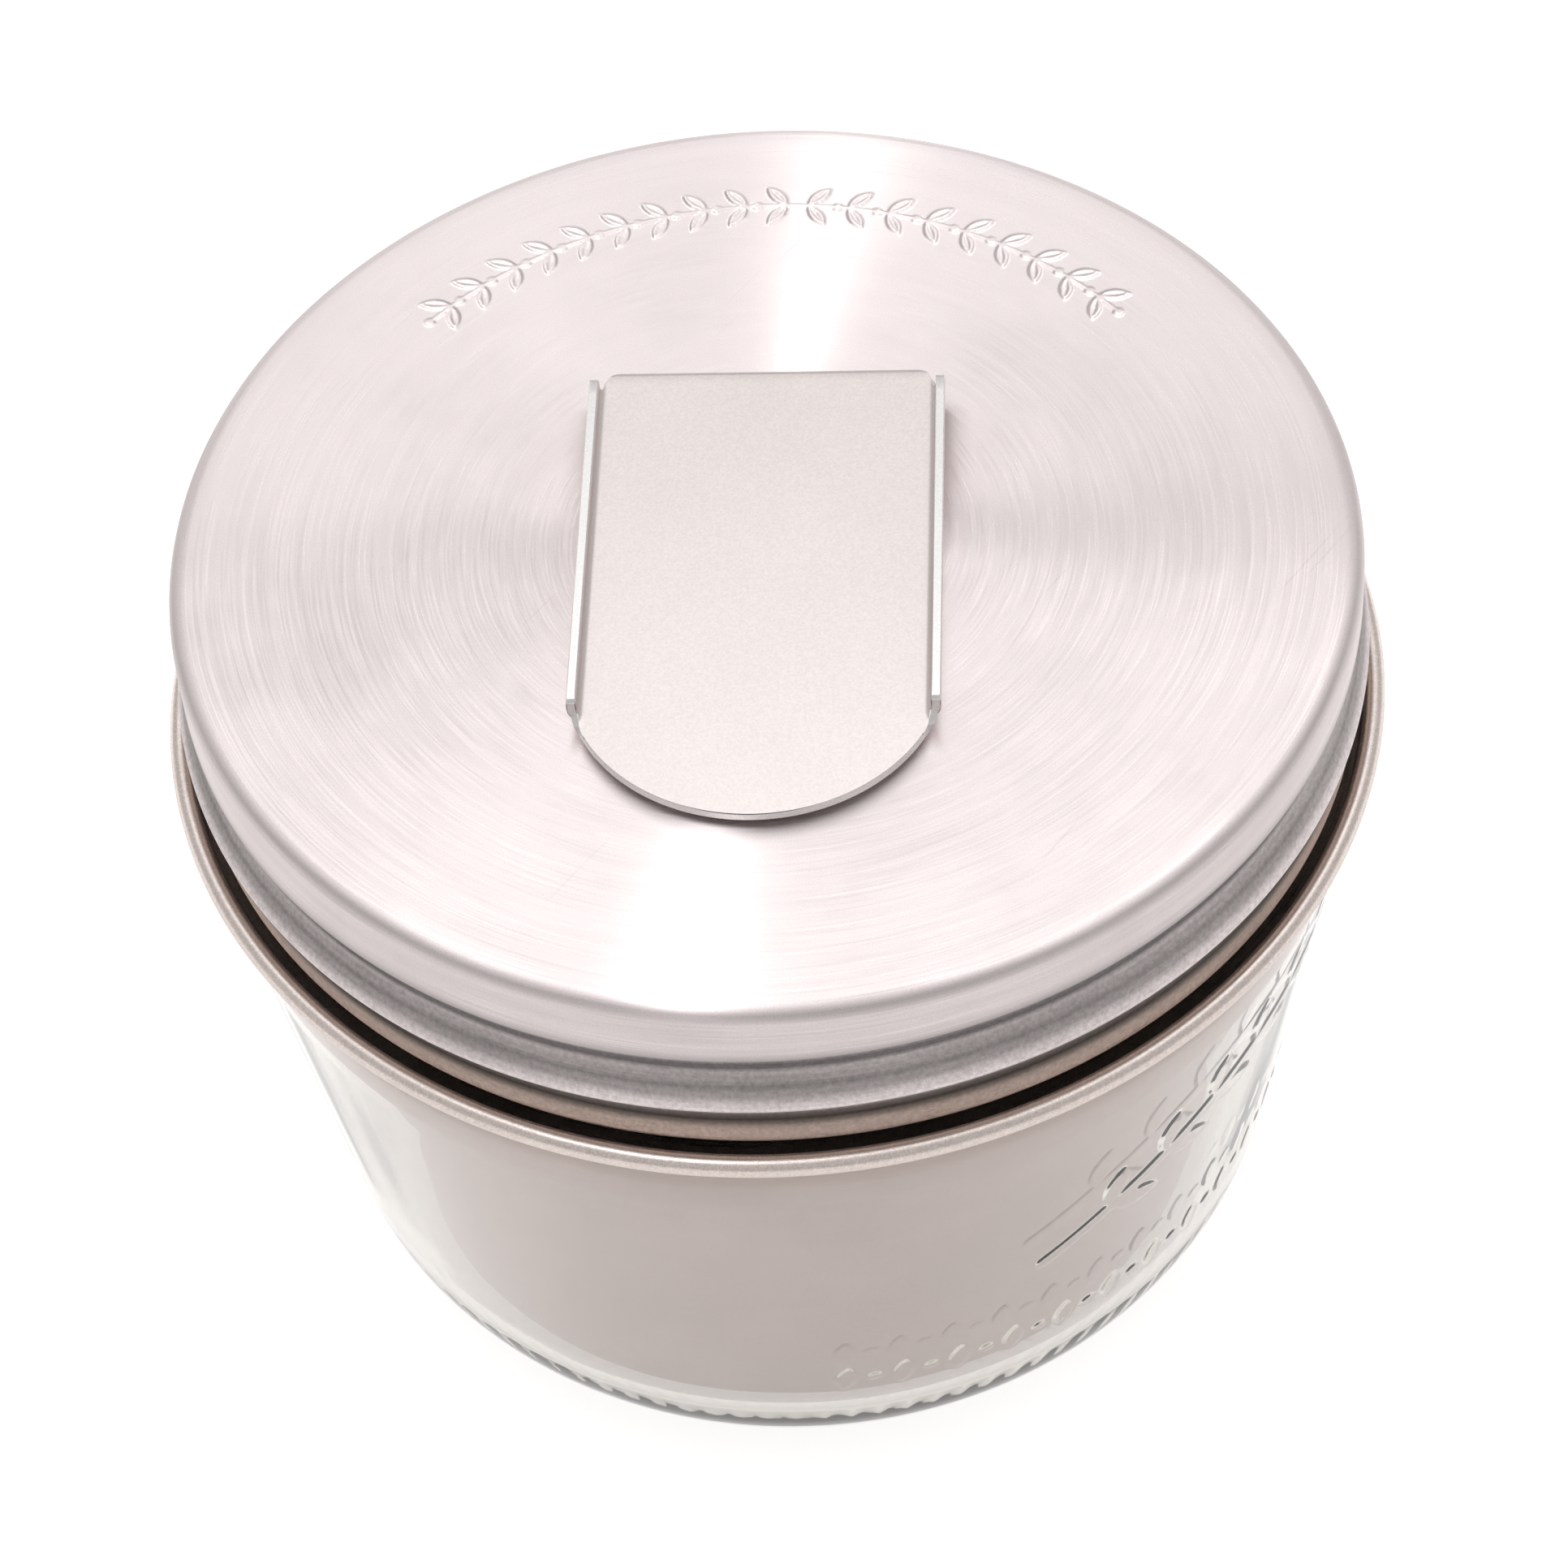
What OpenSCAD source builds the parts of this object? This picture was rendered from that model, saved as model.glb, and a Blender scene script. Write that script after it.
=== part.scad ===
// Wide-mouth glass jar with a hung steel cup, a rolled neck ring and a screw-on steel lid
// that carries a springy clip. Millimetres, +Z up, origin on the floor under the jar's axis.
// The clip points along -Y (the front); +X is to the right.

/* [Jar] */
// Height of the glass jar from the floor to its lip
jar_h = 69; // [60:0.5:120]
// Height of the neck, from the shoulder to the lip
neck_h = 15.9; // [13:0.1:20]
// Outer radius of the neck, at the root of its thread
neck_r = 42.3; // [35:0.1:55]
// How far the shoulder stands out past the neck
shoulder_w = 4; // [3:0.1:6]
// How much the outer radius shrinks from the shoulder to the floor
side_taper = 7.8; // [4:0.1:9.5]
// Radius of the rounded heel outside
heel_r = 12; // [8:0.5:15]
// Radius of the rounded heel inside
heel_in_r = 8; // [7:0.5:10]
// Thickness of the glass wall
glass_t = 3; // [2:0.1:3.6]
// Width of the lip at the mouth
lip_w = 4.3; // [3.5:0.1:5.2]
// Height of the floor inside the jar
floor_h = 4.2; // [3:0.1:8]
// Depth of the hollow under the base
pushup_h = 1.2; // [0.4:0.1:2]

/* [Screw thread] */
// Rise of the thread in one turn
pitch = 5.08; // [4.2:0.01:6.2]
// Turns of thread on the jar's neck
jar_turns = 1.25; // [0.75:0.05:1.4]
// Turns of thread pressed into the lid
lid_turns = 0.9; // [0.5:0.05:1.1]
// How far the glass thread stands out from the neck
thread_h = 1.3; // [0.9:0.1:1.8]
// Width of the glass thread at its root
thread_w = 2.2; // [1.6:0.1:2.7]
// Depth of the thread's upper end below the lip
thread_drop = 3.6; // [2.5:0.1:4.5]

/* [Hung cup] */
// Gap between the cup and the inside of the mouth
cup_play = 3.2; // [3:0.1:15]
// Clearance between the cup's bottom and the jar's floor
cup_gap = 1; // [0.8:0.1:12]
// Outside radius of the cup's bottom edge
cup_edge_r = 4.5; // [3.5:0.1:8]
// How far the cup's flange stays inside the outer edge of the lip
flange_inset = 1.1; // [0.5:0.1:2]

/* [Neck ring] */
// Diameter of the ring's rolled edge
roll_d = 1.7; // [1.4:0.1:2.4]
// Height of the middle of the rolled edge above the shoulder
roll_rise = 1.5; // [1.2:0.1:2]
// Gap between the rolled edge and the lid's skirt
roll_gap = 0.5; // [0.3:0.1:3]

/* [Lid] */
// Rounding of the lid's top edge
lid_edge_r = 1.5; // [1:0.1:3]
// Depth of the plain upper skirt
upper_skirt = 5.4; // [4:0.1:6.5]
// Gap between the shoulder and the lid's curled bottom edge
lid_gap = 2.3; // [1.5:0.1:3]
// How far the groove under the upper skirt goes in
groove_depth = 0.6; // [0.2:0.1:0.8]
// How far the bead under the groove stands out past the upper skirt
bead_out = 0.8; // [0.2:0.1:1.5]
// Diameter of the curled bottom edge
curl_d = 1.4; // [1.2:0.1:2]
// Thickness of the lid's, the cup's and the ring's sheet
sheet_t = 0.5; // [0.4:0.05:0.6]
// Thickness of the silicone gasket
gasket_t = 1; // [0.6:0.1:2]
// Width of the gasket
gasket_w = 7.5; // [6:0.1:9.4]

/* [Clip] */
// Width of the clip over its turned-up sides
clip_w = 27.5; // [20:0.5:36]
// Length of the clip from its fold to the tip of its round end
clip_len = 44.7; // [34:0.1:54]
// Distance of the fold behind the lid's axis
clip_back = 16.3; // [10:0.1:24]
// Length that the round end takes up
clip_nose = 9.5; // [4:0.1:9.9]
// Gap between the clip's foot and the leaf that is folded back over it
hem_gap = 0.1; // [0.1:0.05:1.5]
// Height of the turned-up sides over the clip's top face
side_lip_h = 1.7; // [1:0.1:4]
// Length at the fold that has no turned-up side
side_lip_gap = 1.6; // [1:0.1:6]
// Length of the foot that is welded to the lid
foot_len = 12; // [6:0.5:20]
// Thickness of the clip's sheet
clip_t = 0.7; // [0.4:0.05:0.9]

/* [Hidden] */
$fn = 96;
eps = 0.01;

// Clearances
thread_play = 1.4;   // from the crest of the glass thread to the inside of the lid's skirt
ridge_play = 0.7;    // from the crest of the lid's thread to the root of the glass thread
flank_play = 0.54;   // between the flanks of the two threads
ring_play = 0.6;     // between the neck and the ring's flange
fold_slit = 9;       // degrees left open in the clip's fold, where it flexes
thread_step = 20;    // degrees turned by each level step of a thread

// Heights and radii that follow from one another
shoulder_h = jar_h - neck_h;
shoulder_r = neck_r + shoulder_w;
mouth_r = neck_r - lip_w;
heel_x = shoulder_r - side_taper;             // where the side line meets the floor
side_slope = atan(side_taper / shoulder_h);
wall_x = glass_t / cos(side_slope);           // thickness of the wall, measured level
flange_top = jar_h + sheet_t;
gasket_top = flange_top + gasket_t;
lid_top = gasket_top + sheet_t;
lid_bottom = shoulder_h + lid_gap;
lid_r = neck_r + thread_h + thread_play + sheet_t;
skirt_r = lid_r - 0.1;                        // outer radius of the skirt under the bead
thread_z = jar_h - thread_drop - pitch * jar_turns;

function side_at(z) = heel_x + z * tan(side_slope);

// ---- paths ----
function unit(v) = v / norm(v);
function left_of(v) = [-v.y, v.x];
function xy(p) = [p.x, p.y];
function turned(v, a) = [v.x * cos(a) - v.y * sin(a), v.x * sin(a) + v.y * cos(a)];
function reversed(list) = [for (i = [len(list) - 1:-1:0]) list[i]];

// One corner q between p and n, rounded to radius r in a few steps
function corner(p, q, n, r, steps = 8) =
    r <= 0 ? [q] :
    let (a = unit(p - q), b = unit(n - q),
         half = acos(max(-1, min(1, a * b))) / 2,
         start = q + a * r / tan(half),
         centre = q + unit(a + b) * r / sin(half),
         side = sign(a.x * b.y - a.y * b.x),
         sweep = -side * (180 - 2 * half))
    [for (i = [0:steps]) centre + turned(start - centre, sweep * i / steps)];

// A path whose points are [x, y, radius]; the two ends are never rounded
function rounded(path) = let (last = len(path) - 1)
    [for (i = [0:last])
        each (i == 0 || i == last ? [xy(path[i])]
              : corner(xy(path[i - 1]), xy(path[i]), xy(path[i + 1]), path[i][2]))];

// The same path moved sideways by t, to its right
function beside(path, t) = let (last = len(path) - 1)
    [for (i = [0:last])
        let (before = unit(path[max(i, 1)] - path[max(i, 1) - 1]),
             after = unit(path[min(i + 1, last)] - path[min(i + 1, last) - 1]),
             normal = unit(left_of(before) + left_of(after)))
        path[i] - normal * t / (normal * left_of(before))];

// ---- shared shapes ----
// A sheet turned about Z: one face follows the path, the other lies t to its right
module spun_sheet(path, t) {
    face = rounded(path);
    rotate_extrude() polygon(concat(face, reversed(beside(face, t))));
}

// A rolled edge: a tube of sheet bent into a ring
module rolled_edge(r, z, d) {
    rotate_extrude() translate([r, z]) difference() {
        circle(d = d, $fn = 48);
        circle(d = d - 2 * sheet_t, $fn = 48);
    }
}

// A helical ridge on a wall of radius r, cut into short level steps. It stands out by h,
// or in when h is negative, and may start some turns up the helix that passes through z
module helix_ridge(r, z, h, w, turns, start = 0) {
    steps = round(turns * 360 / thread_step);
    root = r - sign(h) * 0.4;
    rise = pitch * thread_step / 360;
    rotate([0, 0, 360 * start]) for (i = [0:steps - 1]) {
        crest = r + h * min(1, (min(i, steps - 1 - i) + 1) / 3);
        translate([0, 0, z + pitch * start + rise * (i + 0.5)]) rotate([0, 0, i * thread_step])
            rotate_extrude(angle = thread_step + 0.4)
                polygon([[root, -w / 2], [crest, -w / 4], [crest, w / 4], [root, w / 2]]);
    }
}

// ---- glass jar ----
module glass_jar() {
    mouth_land = 9;    // depth of the straight inside of the mouth
    drop = 6;          // depth below the shoulder where the inside has its full width
    foot_bevel = 1.5;  // width of the slope from the hollow base to the foot ring
    color("aliceblue") union() {
        rotate_extrude() polygon(rounded([
            [0, pushup_h, 0],
            [heel_x - heel_r - foot_bevel, pushup_h, 1],
            [heel_x - heel_r, 0, 1],
            [heel_x, 0, heel_r],
            [shoulder_r, shoulder_h, 2.2],
            [neck_r, shoulder_h, 0.4],
            [neck_r, jar_h, 1.6],
            [mouth_r, jar_h, 1.4],
            [mouth_r, jar_h - mouth_land, 8],
            [side_at(shoulder_h - drop) - wall_x, shoulder_h - drop, 8],
            [side_at(floor_h) - wall_x, floor_h, heel_in_r],
            [0, floor_h, 0]
        ]));
        helix_ridge(neck_r, thread_z, thread_h, thread_w, jar_turns);
    }
}

// ---- steel cup hung on the lip ----
module steel_cup() {
    bottom = floor_h + cup_gap;
    cup_r = mouth_r - cup_play;
    color("tan") spun_sheet([
        [neck_r - flange_inset, jar_h, 0],
        [cup_r, jar_h, 1],
        [cup_r, bottom, cup_edge_r],
        [0, bottom, 0]
    ], sheet_t);
}

// ---- ring around the neck ----
module neck_ring() {
    roll_r = skirt_r + roll_gap + roll_d / 2;
    roll_z = shoulder_h + roll_rise;
    color("rosybrown") union() {
        spun_sheet([
            [neck_r + ring_play, shoulder_h, 0],
            [roll_r - roll_d * 0.9, shoulder_h, 0.8],
            [roll_r - roll_d * 0.1, roll_z - roll_d * 0.45, 0]
        ], -sheet_t);
        rolled_edge(roll_r, roll_z, roll_d);
    }
}

// ---- lid ----
module lid_gasket() {
    outer = lid_r - lid_edge_r;               // where the lid's flat inside ends
    color("whitesmoke") difference() {
        translate([0, 0, flange_top]) cylinder(r = outer, h = gasket_t);
        translate([0, 0, flange_top - eps]) cylinder(r = outer - gasket_w, h = gasket_t + 2 * eps);
    }
}

module lid_shell() {
    groove_z = lid_top - upper_skirt;
    bead_z = groove_z - 5;
    curl_z = lid_bottom + curl_d / 2;
    wall_r = skirt_r - sheet_t;
    ridge_z = thread_z - pitch / 2;           // the ridge runs half a turn's rise under the glass
    ridge_start = max(0, (lid_bottom + 1.06 - ridge_z) / pitch);
    ridge_w = pitch - thread_w - 2 * flank_play;
    color("gainsboro") union() {
        spun_sheet([
            [0, lid_top, 0],
            [lid_r, lid_top, lid_edge_r],
            [lid_r, groove_z, 0.3],
            [lid_r - groove_depth, groove_z - 0.5, 0.6],
            [lid_r - groove_depth, groove_z - 2, 2],
            [lid_r + bead_out, bead_z + 0.4, 0.6],
            [skirt_r, bead_z - 0.4, 0.3],
            [skirt_r, curl_z, 0]
        ], sheet_t);
        rolled_edge(skirt_r - curl_d / 2, curl_z, curl_d);
        helix_ridge(wall_r, ridge_z, neck_r + ridge_play - wall_r, ridge_w, lid_turns, ridge_start);
    }
}

// ---- clip ----
fold_r = clip_t + hem_gap / 2;                // outside radius of the fold
fold_y = clip_back - fold_r;
leaf_z = lid_top + 2 * fold_r - clip_t;
nose_y = clip_back - clip_len + clip_nose;    // where the straight sides meet the round end

// Part of the fold between two angles, 90 being its top and -90 its bottom
module fold(from, to) {
    reach = 4 * fold_r;
    translate([-clip_w / 2, fold_y, lid_top + fold_r]) rotate([90, 0, 90]) linear_extrude(clip_w)
        intersection() {
            difference() {
                circle(r = fold_r, $fn = 64);
                circle(r = fold_r - clip_t, $fn = 64);
            }
            polygon([[0, 0], for (i = [0:3]) let (a = from + (to - from) * i / 3)
                reach * [cos(a), sin(a)]]);
        }
}

module clip_foot() {
    color("silver") union() {
        translate([-clip_w / 2, fold_y - foot_len, lid_top]) cube([clip_w, foot_len + eps, clip_t]);
        fold(-90, -40 - fold_slit);
    }
}

// One turned-up side, standing on the leaf with its upper corners rounded
module side_lip() {
    length = fold_y - side_lip_gap - nose_y;
    top = clip_t + side_lip_h;
    round_r = 0.9;
    translate([0, nose_y, leaf_z]) rotate([90, 0, 90]) linear_extrude(clip_t) union() {
        square([length, top - round_r]);
        translate([round_r, top - round_r]) circle(r = round_r, $fn = 48);
        translate([length - round_r, top - round_r]) circle(r = round_r, $fn = 48);
        translate([round_r, 0]) square([length - 2 * round_r, top]);
    }
}

module clip_leaf() {
    nose_r = (pow(clip_w / 2, 2) + pow(clip_nose, 2)) / (2 * clip_nose);
    color("silver") union() {
        translate([0, 0, leaf_z]) linear_extrude(clip_t) union() {
            intersection() {
                translate([0, nose_y - clip_nose + nose_r]) circle(r = nose_r);
                translate([-clip_w / 2, nose_y - clip_nose - 1]) square([clip_w, clip_nose + 1 + eps]);
            }
            translate([-clip_w / 2, nose_y]) square([clip_w, fold_y - nose_y + eps]);
        }
        fold(-40, 90);
        translate([clip_w / 2 - clip_t, 0, 0]) side_lip();
        translate([-clip_w / 2, 0, 0]) side_lip();
    }
}

glass_jar();
steel_cup();
neck_ring();
lid_gasket();
lid_shell();
clip_foot();
clip_leaf();
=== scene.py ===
"""Looks for a wide-mouth glass jar with a hung steel cup, a rolled neck ring and a screw-on clip lid."""

import math

import bmesh
import bpy
import numpy as np
from bpy.props import FloatProperty, FloatVectorProperty, IntProperty, PointerProperty
from mathutils import Matrix, Vector


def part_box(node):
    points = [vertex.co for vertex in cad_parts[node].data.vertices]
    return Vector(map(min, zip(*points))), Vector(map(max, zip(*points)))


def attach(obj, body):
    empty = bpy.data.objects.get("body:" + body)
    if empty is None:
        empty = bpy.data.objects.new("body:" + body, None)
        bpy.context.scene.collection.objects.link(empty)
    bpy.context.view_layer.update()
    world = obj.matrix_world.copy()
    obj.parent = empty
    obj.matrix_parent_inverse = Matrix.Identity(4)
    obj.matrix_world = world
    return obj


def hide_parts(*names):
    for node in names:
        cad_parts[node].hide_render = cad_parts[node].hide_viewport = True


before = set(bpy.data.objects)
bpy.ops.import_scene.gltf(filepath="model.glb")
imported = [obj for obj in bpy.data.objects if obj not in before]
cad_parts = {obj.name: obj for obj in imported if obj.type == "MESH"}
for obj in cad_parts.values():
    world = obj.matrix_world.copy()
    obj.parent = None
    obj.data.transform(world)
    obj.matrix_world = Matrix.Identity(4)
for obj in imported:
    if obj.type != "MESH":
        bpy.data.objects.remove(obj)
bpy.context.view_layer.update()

bl_info = {
    "name": "Clip Lid Jar",
    "version": (1, 0, 0),
    "blender": (4, 5, 0),
    "location": "View3D > Sidebar > Jar",
    "description": "Glass jar with a hung steel cup, a rolled neck ring and a screw-on clip lid",
    "category": "Object",
}

MM = 0.001
JAR_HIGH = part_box("glass_jar")[1]
CUP_LOW, CUP_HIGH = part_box("steel_cup")
RING_LOW, RING_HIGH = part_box("neck_ring")
SEAL_LOW, SEAL_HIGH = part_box("lid_gasket")
LID_LOW, LID_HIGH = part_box("lid_shell")
FOOT_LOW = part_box("clip_foot")[0]
LEAF_LOW, LEAF_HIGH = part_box("clip_leaf")

SHEET = CUP_HIGH[2] - JAR_HIGH[2]
SHOULDER = RING_LOW[2]
FLANGE = CUP_HIGH[0]
LID_EDGE = 1.5 * MM
LID_RADIUS = SEAL_HIGH[0] + LID_EDGE
PITCH = 5.08 * MM


# ---- sizes and colours that a user may change ----
class JarSettings(bpy.types.PropertyGroup):
    wall: FloatProperty(
        name="Wall", description="Thickness of the glass wall", default=3 * MM, unit="LENGTH"
    )
    taper: FloatProperty(
        name="Taper", description="How much the radius shrinks from shoulder to floor",
        default=7.8 * MM, unit="LENGTH",
    )
    neck_inset: FloatProperty(
        name="Neck inset", description="How far the cup's flange stays inside the lip",
        default=1.1 * MM, unit="LENGTH",
    )
    shoulder: FloatProperty(
        name="Shoulder", description="How far the shoulder stands out past the neck",
        default=4 * MM, unit="LENGTH",
    )
    lip: FloatProperty(name="Lip", description="Width of the lip", default=4.3 * MM, unit="LENGTH")
    relief: FloatProperty(
        name="Relief", description="Height of the raised sprig and border",
        default=0.08 * MM, unit="LENGTH",
    )
    ribs: IntProperty(name="Ribs", description="Number of small ribs around the base", default=96)
    tint: FloatVectorProperty(
        name="Tint", description="Colour of thick glass", default=(0.90, 0.875, 0.70), subtype="COLOR"
    )


class SteelSettings(bpy.types.PropertyGroup):
    lid: FloatVectorProperty(
        name="Lid", description="Colour of the lid", default=(0.915, 0.848, 0.846), subtype="COLOR"
    )
    cup: FloatVectorProperty(
        name="Cup", description="Colour of the cup", default=(0.72, 0.641, 0.612), subtype="COLOR"
    )
    ring: FloatVectorProperty(
        name="Ring", description="Colour of the ring", default=(0.79, 0.70, 0.66), subtype="COLOR"
    )
    clip: FloatVectorProperty(
        name="Clip", description="Colour of the clip", default=(0.79, 0.725, 0.712), subtype="COLOR"
    )
    stamp: FloatProperty(
        name="Stamp", description="Height of the stamped garland on the lid",
        default=0.13 * MM, unit="LENGTH",
    )
    thread_lean: FloatProperty(
        name="Thread lean", description="Rise of the rolled groove from the lid's front to its back",
        default=1.9 * MM, unit="LENGTH",
    )


class StudioSettings(bpy.types.PropertyGroup):
    eye: FloatVectorProperty(
        name="Eye", description="Place of the camera, from the middle of the lid's top",
        default=(23.83 * MM, -256.43 * MM, 283.12 * MM), subtype="XYZ_LENGTH",
    )
    aim: FloatVectorProperty(
        name="Aim", description="Point that the camera looks at, from the middle of the lid's top",
        default=(0.40 * MM, -3.85 * MM, -25.0 * MM), subtype="XYZ_LENGTH",
    )
    roll: FloatProperty(
        name="Roll", description="Tilt of the camera", default=math.radians(-4.654), subtype="ANGLE"
    )
    lens: FloatProperty(name="Lens", description="Focal length in millimetres", default=115.53)
    sky: FloatProperty(name="Sky", description="Brightness of the white surroundings", default=0.55)
    ceiling: FloatProperty(name="Ceiling", description="Brightness of the large soft light", default=1.06)
    strip: FloatProperty(name="Strip", description="Brightness of the narrow soft light", default=14.0)
    glow: FloatProperty(name="Glow", description="Light that comes through the floor", default=0.80)
    floor: FloatVectorProperty(
        name="Floor", description="Colour of the floor", default=(0.64, 0.63, 0.62), subtype="COLOR"
    )


# ---- outlines ----
def unit(v):
    """The vector's direction, with length 1."""
    return v / np.linalg.norm(v)


def rounded(path, steps=10):
    """The path of (x, y, radius) points with each inner corner rounded to its radius."""
    points = [np.array(p[:2], float) for p in path]
    out = [points[0]]
    for before, here, after, radius in zip(points, points[1:], points[2:], [p[2] for p in path[1:]]):
        if radius <= 0:
            out.append(here)
            continue
        a, b = unit(before - here), unit(after - here)
        half = math.acos(max(-1.0, min(1.0, float(a @ b)))) / 2
        centre = here + unit(a + b) * radius / math.sin(half)
        start = here + a * radius / math.tan(half) - centre
        sweep = -math.copysign(math.pi - 2 * half, a[0] * b[1] - a[1] * b[0])
        for k in range(steps + 1):
            t = sweep * k / steps
            out.append(centre + [start[0] * math.cos(t) - start[1] * math.sin(t),
                                 start[0] * math.sin(t) + start[1] * math.cos(t)])
    out.append(points[-1])
    return np.array(out)


def arc(x, y, radius, start, end, steps):
    """Points along a circle, with its angles in degrees."""
    turn = np.radians(np.linspace(start, end, steps + 1))
    return np.column_stack([x + radius * np.cos(turn), y + radius * np.sin(turn)])


def beside(path, t):
    """The same path moved sideways by t, to its right."""
    step = np.diff(path, axis=0)
    step = step / np.linalg.norm(step, axis=1)[:, None]
    left = np.column_stack([-step[:, 1], step[:, 0]])
    before, after = np.vstack([left[:1], left]), np.vstack([left, left[-1:]])
    normal = before + after
    normal = normal / np.linalg.norm(normal, axis=1)[:, None]
    return path - normal * (t / (normal * before).sum(1))[:, None]


def divided(path, step):
    """The path with more points, so that none of its stretches is longer than step(x, y) gives."""
    out = [path[0]]
    for a, b in zip(path, path[1:]):
        middle = (a + b) / 2
        count = max(1, math.ceil(np.linalg.norm(b - a) / step(middle[0], middle[1]) - 1e-9))
        out.extend(a + (b - a) * k / count for k in range(1, count + 1))
    return np.array(out)


def smooth(x):
    """A soft step from 0 to 1 as x goes from 0 to 1."""
    x = np.clip(x, 0, 1)
    return x * x * (3 - 2 * x)


def turned_from(angle, centre):
    """The angle measured from centre, between minus and plus pi."""
    return (angle - centre + math.pi) % (2 * math.pi) - math.pi


# ---- meshes ----
def new_object(name, data):
    thing = bpy.data.objects.new(name, data)
    bpy.context.scene.collection.objects.link(thing)
    return thing


def add_mesh(name, points, faces, materials, body, stands_for, sharp=40, kinds=None, masks=None):
    """One finished piece: welded, with its faces turned outward, riding on its body.

    kinds says which material each face takes. masks are named numbers kept at each point.
    """
    mesh = bpy.data.meshes.new(name)
    mesh.from_pydata([tuple(p) for p in points], [], faces)
    for material in materials:
        mesh.materials.append(material)
    if kinds:
        mesh.polygons.foreach_set("material_index", kinds)
    for label, values in (masks or {}).items():
        layer = mesh.attributes.new(label, "FLOAT", "POINT")
        layer.data.foreach_set("value", np.asarray(values, np.float32).ravel())
    work = bmesh.new()
    work.from_mesh(mesh)
    bmesh.ops.remove_doubles(work, verts=work.verts, dist=1e-7)
    bmesh.ops.recalc_face_normals(work, faces=work.faces)
    work.to_mesh(mesh)
    work.free()
    mesh.shade_smooth()
    mesh.set_sharp_from_angle(angle=math.radians(sharp))
    piece = new_object(name, mesh)
    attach(piece, body)
    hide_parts(*stands_for)
    return piece


def spun(outline, angles, shape=None, ring=False):
    """Points and faces of an outline of (radius, height) turned about Z.

    shape(radius, height, angle) may move the points. A ring's outline is closed; any other
    outline starts and ends on the axis.
    """
    r, a = np.meshgrid(outline[:, 0], angles, indexing="ij")
    z = np.repeat(outline[:, 1:2], len(angles), axis=1)
    if shape:
        r, z = shape(r, z, a)
    points = np.stack([r * np.cos(a), r * np.sin(a), z], axis=-1).reshape(-1, 3)
    rows, columns = len(outline), len(angles)
    grid = np.arange(rows * columns).reshape(rows, columns)
    beside_grid = np.roll(grid, -1, axis=1)
    last = rows if ring else rows - 1
    below, below_beside = np.roll(grid, -1, axis=0), np.roll(beside_grid, -1, axis=0)
    faces = np.stack([grid, beside_grid, below_beside, below], axis=-1)[:last].reshape(-1, 4)
    return points, faces.tolist()


def all_round(coarse, centre=None, half_width=0.0, fine=1.0):
    """Angles all the way round, in steps of coarse degrees, or fine ones within half_width of centre."""
    if centre is None:
        return np.radians(np.arange(0, 360, coarse))
    inside = np.arange(centre - half_width, centre + half_width, fine)
    count = round((360 - 2 * half_width) / coarse)
    outside = np.linspace(centre + half_width, centre - half_width + 360, count, endpoint=False)
    return np.radians(np.concatenate([inside, outside]))


# ---- raised ornament: distances to simple marks, in metres ----
def raised(height, mark, steepness):
    """The height with one more mark on it; a steep mark has a flat top."""
    return np.maximum(height, smooth(mark * steepness))


def leaf_mark(u, v, x, y, length, width, turn):
    """How far inside a pointed leaf each point lies, 1 along its middle and 0 at its edge."""
    du, dv = u - x, v - y
    along = (du * math.cos(turn) + dv * math.sin(turn)) / (length / 2)
    across = (-du * math.sin(turn) + dv * math.cos(turn)) / (width / 2)
    edge = np.clip(1 - along**2, 0, 1)
    return np.clip(edge - np.abs(across), 0, 1) * (np.abs(along) < 1)


def dot_mark(u, v, x, y, radius):
    """How far inside a round dot each point lies."""
    return np.clip(1 - np.hypot(u - x, v - y) / radius, 0, 1)


def line_mark(u, v, points, width):
    """How far inside a round-ended line through the points each point lies."""
    best = np.full(np.shape(u), 1e9)
    for (x0, y0), (x1, y1) in zip(points, points[1:]):
        dx, dy = x1 - x0, y1 - y0
        t = np.clip(((u - x0) * dx + (v - y0) * dy) / (dx * dx + dy * dy), 0, 1)
        best = np.minimum(best, np.hypot(u - x0 - t * dx, v - y0 - t * dy))
    return np.clip(1 - best / (width / 2), 0, 1)


# ---- shader node groups ----
NUMBER, COLOUR = "NodeSocketFloat", "NodeSocketColor"
DIRT_START = 5.0 * MM  # depth from which recesses hold dirt
DIRT_GAIN = 900.0  # how fast it sets in, per metre
SHADE_DEPTH = 16  # full depth of the painted recess shade, in millimetres
WARM_START, WARM_SPAN = 11, 1.5  # where, in millimetres, the painted shade turns warm, standing in for light bounced between steel faces
PAINTED_RECESS_SHADE = (  # painted shade and highlight down the lid's side: (depth in millimetres, tone)
    (0.0, 1.0), (0.15, 0.98), (0.45, 0.66), (1.1, 0.70), (2.4, 0.67), (3.6, 0.71), (4.6, 0.62),
    (5.3, 0.42), (6.0, 0.31), (6.5, 0.15), (6.9, 0.14), (7.4, 0.42), (8.1, 0.38), (8.55, 0.26),
    (8.9, 0.36), (9.3, 0.39), (9.6, 0.56), (10.0, 0.72), (10.5, 0.72), (11.0, 0.54), (11.9, 0.13),
    (12.5, 0.05), (13.0, 0.19), (13.5, 0.44), (14.2, 0.64), (15.4, 1.0),
)


def new_group(name, inputs, outputs):
    """A shader node group with named number inputs and named outputs, what it is given, and its end."""
    group = bpy.data.node_groups.new(name, "ShaderNodeTree")
    for label, value in inputs.items():
        socket = group.interface.new_socket(name=label, in_out="INPUT", socket_type=NUMBER)
        socket.default_value = value
    for label, kind in outputs.items():
        group.interface.new_socket(name=label, in_out="OUTPUT", socket_type=kind)
    return group, group.nodes.new("NodeGroupInput").outputs, group.nodes.new("NodeGroupOutput")


def link(tree, source, target):
    tree.links.new(source, target)


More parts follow.
